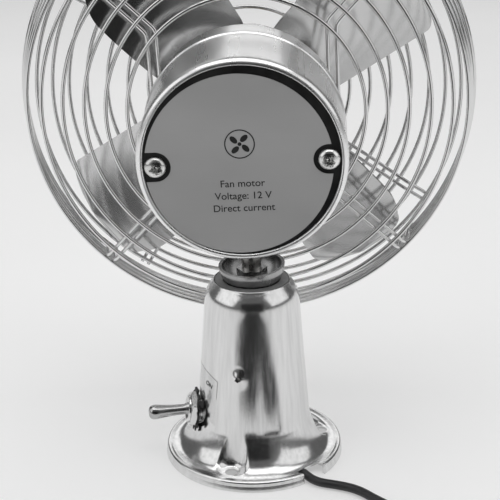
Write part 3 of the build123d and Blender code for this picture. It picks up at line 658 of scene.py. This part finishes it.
def make_lock_washer():
    """A toothed ring, its teeth twisted, with one tab bent back to the column."""
    random.seed(4)
    ring = turned("ring", [(6.1, 0.35), (7.7, 0.35), (7.7, 1.0), (6.1, 1.0), (6.1, 0.35)], 60)
    teeth = []
    for k in range(12):
        twist = 16 + random.uniform(-6, 6)
        place = turn(30 * k, "Z") @ shift(8.3, 0, 0.72) @ turn(twist, "X")
        teeth.append(block(f"tooth_{k}", (1.9, 1.9, 0.6), place, 0.12, 1))
    tab = block("tab", (3.4, 3.0, 0.6), turn(38, "Z") @ shift(9.2, 0, 0.1) @ turn(34, "Y"), 0.15, 1)
    washer = join("lock_washer", [ring, *teeth, tab])
    return smooth(settle(washer, SWITCH), 30)


def make_lever():
    lever = turned("bat_lever", [
        (0.005, -2.9), (1.4, -2.5), (2.4, -1.6), (2.9, -0.3), (2.8, 0.8), (2.4, 1.7), (2.2, 2.4),
        (2.2, 4.0), (2.25, 6.0), (2.4, 8.4), (2.6, 10.6), (2.85, 12.6), (3.05, 14.0), (3.1, 15.0),
        (3.0, 15.9), (2.75, 16.6), (2.3, 17.15), (1.7, 17.5), (0.9, 17.66), (0.005, 17.7),
    ], 48)
    return smooth(settle(lever, LEVER), 60)


def make_bushing():
    """A threaded bushing with a flared mouth."""
    body = [(3.4, -4.5), (5.95, -4.5)]
    z = -4.4
    while z < 3.5:
        body += [(5.95, z + 0.15), (5.72, z + 0.42), (5.95, z + 0.70)]
        z += 0.75
    body += [(5.8, 4.3), (5.5, 4.5), (4.7, 4.5), (4.2, 4.1), (3.6, 3.6), (3.4, 3.3), (3.4, -4.5)]
    return smooth(settle(turned("switch_thread", body, 64), SWITCH), 30)


hand_over(make_bushing(), "base", SWITCH_CHROME, "chrome", "switch_bushing")
hand_over(make_hex_nut("hex_nut", 14.0, 1.05, 3.6, 6.0, SWITCH), "base", SWITCH_CHROME, "chrome", "switch_nut")
hand_over(make_lock_washer(), "base", DARK_STEEL, "dark_steel", "switch_lock_washer")
hand_over(make_lever(), "toggle", LEVER_PLATE, "chrome", "toggle_lever")


# ------------------------------------------------------------------ sticker above the switch

STICKER_HALF, STICKER_SIDE_Z, STICKER_TOP_Z, STICKER_LOW_Z = 14.8, 39.4, 42.4, 19.5
STICKER_FILM = finish("sticker_film", (0.80, 0.80, 0.80), roughness=0.22)
STICKER_FILM.node_tree.nodes["Principled BSDF"].inputs["Alpha"].default_value = 0.10
relief(STICKER_FILM, pattern(STICKER_FILM, 700), 0.003)
STICKER_EDGE = moulded("sticker_edge", (0.16, 0.16, 0.16), 0.4, 0.002)


def onto_column(piece, lift):
    """Wraps a flat piece, drawn around the switch's axis, onto the column."""
    for vertex in piece.data.vertices:
        x, y, z = vertex.co / MM
        r = column_r(y) + lift + z
        a = math.radians(10.0) + x / column_r(y)
        vertex.co = Vector((r * math.cos(a), r * math.sin(a), y)) * MM
    return piece


def sticker_top(x):
    return STICKER_SIDE_Z + (STICKER_TOP_Z - STICKER_SIDE_Z) * (1 - (x / STICKER_HALF) ** 2)


def make_sticker():
    bpy.ops.object.select_all(action="DESELECT")
    bpy.ops.mesh.primitive_grid_add(x_subdivisions=48, y_subdivisions=24, size=1)
    film = named("switch_sticker")
    for vertex in film.data.vertices:
        x = vertex.co.x * 2 * STICKER_HALF
        share = vertex.co.y + 0.5
        low = STICKER_LOW_Z + 7.0 * max(0.0, 1 - (x / 11.0) ** 2) ** 0.5 + 4.0 * (1 - abs(x) / STICKER_HALF)
        y = low + (sticker_top(x) - low) * share
        vertex.co = Vector((x, y, 0)) * MM
    return smooth(onto_column(film, 0.05))


def make_sticker_edge():
    """The fine line around the sticker."""
    bpy.ops.object.select_all(action="DESELECT")
    bpy.ops.mesh.primitive_grid_add(x_subdivisions=60, y_subdivisions=2, size=1)
    top = named("sticker_top_line")
    for vertex in top.data.vertices:
        x = vertex.co.x * 2 * STICKER_HALF
        vertex.co = Vector((x, sticker_top(x) + vertex.co.y * 0.16, 0)) * MM
    sides = []
    for side in (-1, 1):
        bpy.ops.mesh.primitive_grid_add(x_subdivisions=2, y_subdivisions=24, size=1)
        line = named("sticker_side_line")
        for vertex in line.data.vertices:
            x = side * (STICKER_HALF - 0.08) + vertex.co.x * 0.16
            y = 31.5 + (STICKER_SIDE_Z - 31.5) * (vertex.co.y + 0.5)
            vertex.co = Vector((x, y, 0)) * MM
        sides.append(line)
    return onto_column(join("sticker_line", [top, *sides]), 0.08)


hand_over(make_sticker(), "base", STICKER_FILM, "fuse_glass")
hand_over(make_sticker_edge(), "base", STICKER_EDGE, "black_plastic")
on_word = lettering("sticker_on", "ON", 2.9, shift(9.6, 36.4, 0) @ turn(-12, "Z"), 0.03, 0.02)
hand_over(onto_column(on_word, 0.09), "base", PRINT_BLACK, "black_plastic")


# ------------------------------------------------------------------ motor can

CAN_SEAM = 16.3
BOLT_U = 32.8
COVER_W = -21.5


def make_can_rear():
    shell = turned("can_rear", [
        (37.5, -19.5), (37.5, -20.9), (37.52, -21.5), (37.62, -21.95), (37.85, -22.25),
        (38.15, -22.38), (38.5, -22.36), (38.85, -22.24), (39.2, -22.02), (39.52, -21.72),
        (39.8, -21.35), (40.04, -20.9), (40.22, -20.4), (40.36, -19.8), (40.45, -19.0), (40.5, -17.8), (40.5, -8.0), (40.5, 2.0), (40.5, 12.0), (40.5, 14.2),
        (40.62, 14.6), (40.95, 14.9), (41.2, 15.3), (41.22, 15.8), (41.05, 16.15), (40.7, 16.28),
        (39.3, 16.28), (39.3, 10.0), (39.3, -10.0), (39.3, -18.4), (37.5, -19.5),
    ], 240)
    cut(shell, drill("stud_way", turn(90, "X"), 4.1, 30, 45))
    settle(shell, AXIAL)
    return smooth(shell, 40)


def make_can_front():
    shell = turned("can_front", [
        (38.9, 16.35), (39.95, 16.35), (39.98, 16.7), (39.9, 17.2), (39.9, 24.0), (39.9, 31.6),
        (39.8, 32.9), (39.45, 34.1), (38.8, 35.0), (37.9, 35.55), (36.8, 35.8), (33.5, 35.8),
        (24.0, 35.8), (20.0, 35.6), (16.0, 35.2), (12.0, 35.0), (10.1, 35.0), (10.1, 34.0),
        (20.0, 34.6), (37.0, 34.8), (38.4, 33.9), (38.9, 31.6), (38.9, 16.35),
    ], 240)
    settle(shell, AXIAL)
    return smooth(shell, 40)


def make_barrel_seam():
    """The fine butt seam along the rear shell, with its dressed weld."""
    seam = block("barrel_seam", (0.34, 0.12, 34.0), turn(38, "Z") @ shift(0, 40.51, -3.0), 0.05, 1)
    settle(seam, AXIAL)
    return seam


hand_over(make_can_rear(), "head", CAN_CHROME, "can_chrome", "can_rear_shell")
hand_over(make_can_front(), "head", CAN_CHROME, "can_chrome", "can_front_shell")
hand_over(make_barrel_seam(), "head", GRAY_PLATE, "can_chrome")


def make_cover_screw(side):
    """Pan-head through bolt with a cross recess."""
    body = [
        (0.005, 2.62), (1.4, 2.58), (2.6, 2.34), (3.5, 1.85), (4.05, 1.15), (4.25, 0.45), (4.25, 0.0),
        (1.65, 0.0),
    ]
    screw = turned("cover_bolt", [*body, (1.65, -65.5), (0.005, -65.5)], 48)
    for angle in (0, 90):
        wing = block("wing", (4.7, 0.95, 2.0), turn(angle, "Z") @ shift(0, 0, 2.15), 0.25, 1)
        cut(screw, wing)
    pit = turned("pit", [(0.005, 0.2), (0.9, 0.8), (1.25, 3.2), (0.005, 3.2)], 24)
    cut(screw, pit)
    tilt = 18 if side > 0 else -26
    place = AXIAL @ shift(side * BOLT_U, 0, COVER_W) @ turn(180, "Y") @ turn(tilt, "Z")
    return settle(screw, place)


bolts = join("cover_bolts", [make_cover_screw(1), make_cover_screw(-1)])
hand_over(smooth(bolts, 35), "head", SCREW_PLATE, "zinc_steel", "motor_bolts")


# ------------------------------------------------------------------ label print

LABEL_W = -21.9
PRINT_RISE = 0.03


def make_mark():
    """A plain round pictogram: a ring around four blades."""
    ring = turned("mark_ring", [(5.3, 0), (5.75, 0), (5.75, 0.04), (5.3, 0.04), (5.3, 0)], 64)
    hub = turned("mark_hub", [(0.005, 0.04), (0.75, 0.04), (0.75, 0), (0.005, 0)], 24)
    petals = []
    for k in range(4):
        bpy.ops.object.select_all(action="DESELECT")
        bpy.ops.mesh.primitive_cylinder_add(vertices=32, radius=1, depth=0.04 * MM)
        petal = named(f"petal_{k}")
        petal.scale = (1.75 * MM, 1.05 * MM, 1)
        place = turn(45 + 90 * k, "Z") @ shift(2.75, 0.45, 0.02)
        petals.append(settle(petal, place))
    return join("fan_mark", [ring, hub, *petals])


def on_label(x, y):
    return FROM_BEHIND @ shift(x, y, -LABEL_W + PRINT_RISE - 0.02)


prints = [
    settle(make_mark(), on_label(-0.4, 7.6) @ turn(-2.8, "Z")),
    lettering("label_line_1", "Fan motor", 4.0, on_label(-0.3, -8.2) @ turn(-0.5, "Z"), 0.03, 0.04),
    lettering("label_line_2", "Voltage: 12 V", 4.0, on_label(-0.3, -13.2) @ turn(-0.5, "Z"), 0.03, 0.04),
    lettering("label_line_3", "Direct current", 4.0, on_label(-0.3, -18.2) @ turn(-0.5, "Z"), 0.03, 0.04),
]
hand_over(join("label_print", prints), "head", PRINT_BLACK, "black_plastic")


# ------------------------------------------------------------------ propeller

BLADE_W = 54.0
BLADE_PITCH = 22.0
BLADE_ANGLE = -35.5


def blade_top(x):
    if x < 28:
        return 13 + (x - 13) / 15 * 8.1
    if x < 79:
        return 17.9 + 0.114 * x
    return 3 + 23.9 * math.sqrt(max(0.0, 1 - ((x - 79) / 8) ** 2))


def blade_bottom(x):
    if x < 30:
        return -12 - (x - 13) / 17 * 9
    if x < 60:
        return -21 - 6 * ((x - 30) / 30) ** 0.62
    if x < 67:
        return -27 - 0.6 * (x - 60) / 7
    if x < 79.5:
        return -27.6 + 4.1 * ((x - 67) / 12.5) ** 2
    return 3 - 26.5 * math.sqrt(max(0.0, 1 - ((x - 79.5) / 7.5) ** 2))


def make_blade():
    """One pressed blade: a sheet shaped to the blade's outline, slightly dished."""
    bpy.ops.object.select_all(action="DESELECT")
    bpy.ops.mesh.primitive_grid_add(x_subdivisions=64, y_subdivisions=20, size=1)
    blade = named("blade")
    for vertex in blade.data.vertices:
        share = vertex.co.x + 0.5
        x = 13 + (86.95 - 13) * math.sin(share * math.pi / 2)
        across = vertex.co.y + 0.5
        low, high = blade_bottom(x), blade_top(x)
        y = low + (high - low) * across
        dish = 1.5 * (1 - (2 * across - 1) ** 2) * ease_between(x, 14, 40)
        vertex.co = Vector((x, y, -dish)) * MM
    thicken(blade, 1.0, 0.0)
    settle(blade, turn(BLADE_PITCH, "X"))
    return blade


def make_propeller():
    blade = make_blade()
    blades = [blade] + [copy_of(blade, turn(90 * k, "Z")) for k in (1, 2, 3)]
    disc = turned("prop_disc", [
        (7.05, 0.6), (9.0, 0.9), (13.0, 0.9), (15.5, 0.6), (19.0, 0.5), (19.3, 0.0), (19.0, -0.5),
        (15.5, -0.5), (13.0, -0.2), (9.0, -0.2), (7.05, -0.5), (7.05, 0.6),
    ], 64)
    whole = join("propeller_blades", [disc, *blades])
    settle(whole, AXIAL @ shift(0, 0, BLADE_W) @ turn(BLADE_ANGLE, "Z"))
    return smooth(whole, 40)


hand_over(make_propeller(), "rotor", BLADE_METAL, "blade_metal", "propeller")


# ------------------------------------------------------------------ front badge

def make_badge():
    edge, back = 24.0, 80.6
    badge = turned("guard_badge", [
        (0.005, back + 2.6), (4.0, back + 2.6), (7.5, back + 2.45), (8.2, back + 2.2),
        (8.9, back + 2.45), (14.0, back + 2.2), (18.2, back + 1.9), (19.0, back + 1.6),
        (19.8, back + 1.85), (22.0, back + 1.6), (23.3, back + 1.1), (24.0, back + 0.3),
        (23.6, back - 0.1), (22.6, back + 0.3), (18.0, back + 0.8), (0.005, back + 1.2),
    ], 128)
    assert edge == 24.0
    return smooth(settle(badge, AXIAL), 40)


hand_over(make_badge(), "head", BADGE_CHROME, "badge_metal", "front_badge")


# ------------------------------------------------------------------ plug

PLUG = frame_of((0, 1, 0), (1, 0, 0), (-20.0, 107.0, 10.4))


def make_plug_body():
    grip = [(3.0, 14.0), (8.6, 14.0), (9.5, 14.6), (9.9, 15.8)]
    z = 17.0
    while z < 32:
        grip += [(10.0, z), (10.0, z + 1.0), (9.45, z + 1.35), (9.45, z + 1.85), (10.0, z + 2.2)]
        z += 2.6
    grip += [
        (10.15, 36.0), (10.1, 40.0), (9.8, 41.4), (9.4, 42.0), (9.4, 64.6), (9.1, 65.7), (8.6, 66.0),
        (3.6, 66.0), (3.6, 28.0), (3.0, 14.0),
    ]
    body = turned("plug_grip", grip, 96)
    for side in (-1, 1):
        cut(body, block("slot_way", (2.6, 4.6, 19.0), shift(side * 9.2, 0, 54.0)))
    ease(body, 0.12, 1, 50)
    return smooth(settle(body, PLUG), 35)


def make_strain_relief():
    boot, z = [(1.82, 0.2), (2.7, 0.2)], 0.6
    while z < 12.5:
        r = 2.75 + z * 0.125
        boot += [(r, z), (r + 0.12, z + 1.1), (r - 0.45, z + 1.4), (r - 0.4, z + 1.9)]
        z += 2.2
    boot += [(4.5, z), (4.6, 14.0), (1.82, 14.0), (1.82, 0.2)]
    return smooth(settle(turned("plug_boot", boot, 48), PLUG), 35)


plug_grip = hand_over(make_plug_body(), "base", PLUG_BLACK, "black_plastic", "plug_body")
plug_boot = hand_over(make_strain_relief(), "base", CORD_SHEATH, "cord_rubber", "plug_strain_relief")

# ------------------------------------------------------------------ floor, cards and light

FLOOR_WHITE = finish("floor_white", (0.62, 0.62, 0.62), roughness=0.7)
spread(FLOOR_WHITE, pattern(FLOOR_WHITE, 3), (0.60,) * 3, (0.63,) * 3, "Base Color")
FLOOR_WHITE.node_tree.nodes["Principled BSDF"].inputs["Emission Color"].default_value = (1, 1, 1, 1)
FLOOR_WHITE.node_tree.nodes["Principled BSDF"].inputs["Emission Strength"].default_value = 0.36
ROOM_WHITE = finish("room_white", (0.0, 0.0, 0.0), roughness=1.0)
ROOM_WHITE.node_tree.nodes["Principled BSDF"].inputs["Emission Color"].default_value = (1, 1, 1, 1)
ROOM_WHITE.node_tree.nodes["Principled BSDF"].inputs["Emission Strength"].default_value = 0.55
ROOM_WHITE.node_tree.nodes["Principled BSDF"].inputs["Specular IOR Level"].default_value = 0.0
CARD_BLACK = finish("card_black", (0.010, 0.010, 0.010), roughness=0.9)
CARD_GRAY = finish("card_gray", (0.10, 0.10, 0.10), roughness=0.9)


def sheet_at(name, width, depth, at, turns=(0, 0, 0), material=FLOOR_WHITE):
    bpy.ops.object.select_all(action="DESELECT")
    bpy.ops.mesh.primitive_plane_add(size=1, location=at, rotation=[math.radians(t) for t in turns])
    card = named(name)
    card.scale = (width, depth, 1)
    settle(card)
    coat(card, material)
    card.visible_camera = material is FLOOR_WHITE
    card.visible_shadow = material is FLOOR_WHITE
    card.visible_diffuse = material is FLOOR_WHITE
    return card


def lamp(name, at, target, size, watts):
    data = bpy.data.lights.new(name, "AREA")
    data.shape = "RECTANGLE"
    data.size, data.size_y = size
    data.energy = watts
    light = bpy.data.objects.new(name, data)
    bpy.context.collection.objects.link(light)
    light.location = at
    aim = Vector(target) - Vector(at)
    light.rotation_euler = aim.to_track_quat("-Z", "Y").to_euler()
    return light


sheet_at("floor", 40.0, 40.0, (0, 0, -0.0002))

bpy.ops.object.select_all(action="DESELECT")
bpy.ops.mesh.primitive_uv_sphere_add(segments=64, ring_count=32, radius=5.0)
room = settle(named("pale_room"))
coat(room, ROOM_WHITE)
for kind in ("visible_glossy", "visible_diffuse", "visible_shadow", "visible_transmission"):
    setattr(room, kind, False)

sheet_at("dark_front", 0.26, 0.48, (0.0, 0.39, 0.001), (0, 0, 0), CARD_BLACK)
sheet_at("dark_front_far", 0.62, 0.40, (0.0, 0.73, 0.002), (0, 0, 0), CARD_BLACK)
sheet_at("dark_upright", 0.95, 0.60, (0.0, 0.92, 0.31), (90, 0, 0), CARD_BLACK)
sheet_at("dark_overhead", 1.3, 0.40, (0, 0.75, 0.85), (50, 0, 0), CARD_BLACK)

lamp("left_softbox", (1.2, 0.35, 0.80), (0, 0, 0.10), (1.5, 1.1), 4.8)
lamp("right_softbox", (-1.2, 0.35, 0.80), (0, 0, 0.10), (1.5, 1.1), 4.3)
lamp("top_softbox", (0.0, -0.05, 1.25), (0, 0, 0.1), (1.6, 0.8), 6.0)
lamp("front_softbox", (0.0, 0.50, 1.35), (0, 0, 0.12), (1.4, 0.35), 2.6)
lamp("back_softbox", (0.0, -1.4, 0.9), (0, 0, 0.1), (1.8, 0.8), 5.0)

world = bpy.data.worlds.new("studio")
world.use_nodes = True
world.node_tree.nodes["Background"].inputs["Color"].default_value = (1, 1, 1, 1)
world.node_tree.nodes["Background"].inputs["Strength"].default_value = 0.12
bpy.context.scene.world = world
bpy.context.scene.view_settings.view_transform = "Standard"
